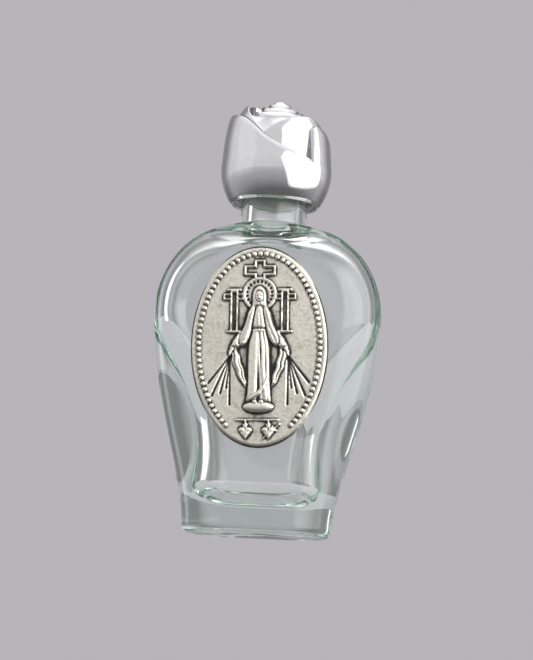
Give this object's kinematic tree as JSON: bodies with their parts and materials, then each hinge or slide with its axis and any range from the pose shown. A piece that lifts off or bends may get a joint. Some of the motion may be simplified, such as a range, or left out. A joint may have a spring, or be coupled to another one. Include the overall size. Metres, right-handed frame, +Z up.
{
  "type": "holy water bottle",
  "caption": "Small clear glass flask with flat panels, a rose-shaped chromed screw cap and an oval relief medal glued to its front.",
  "frame": {"origin": "centre of the flat base that the bottle stands on", "axes": "+Z up along the axis of the neck and cap, -Y out of the front panel that carries the medal, +X to the right seen from the front"},
  "size_m": [0.0392, 0.0209, 0.0762],
  "materials": {
    "clear_glass": "clear pressed soda-lime glass with a faint green edge",
    "antique_silver": "cast pewter alloy with dark patina in the recesses and polished heights",
    "clear_glue": "clear cured glue",
    "sealing_foam": "closed-cell sealing foam",
    "white_plastic": "moulded white polypropylene",
    "chromed_plastic": "moulded plastic metallised with bright chrome"
  },
  "bodies": {
    "bottle": {"glass_bottle": "clear_glass", "medal": "antique_silver", "medal_adhesive": "clear_glue"},
    "liner": {"cap_liner": "sealing_foam"},
    "cap": {"cap_insert": "white_plastic", "cap_shell": "chromed_plastic"}
  },
  "joints": [
    {"name": "cap_rise", "type": "slide", "parent": "bottle", "child": "liner", "axis": [0, 0, 1], "range_m": [0, 0.0053]},
    {"name": "cap_turn", "type": "hinge", "parent": "liner", "child": "cap", "pos_m": [0, 0, 0.0657], "axis": [0, 0, 1], "range_deg": [0, 900]}
  ],
  "couplings": [
    {"joint": "cap_rise", "follows": "cap_turn", "m_per_rad": 0.00033688}
  ]
}
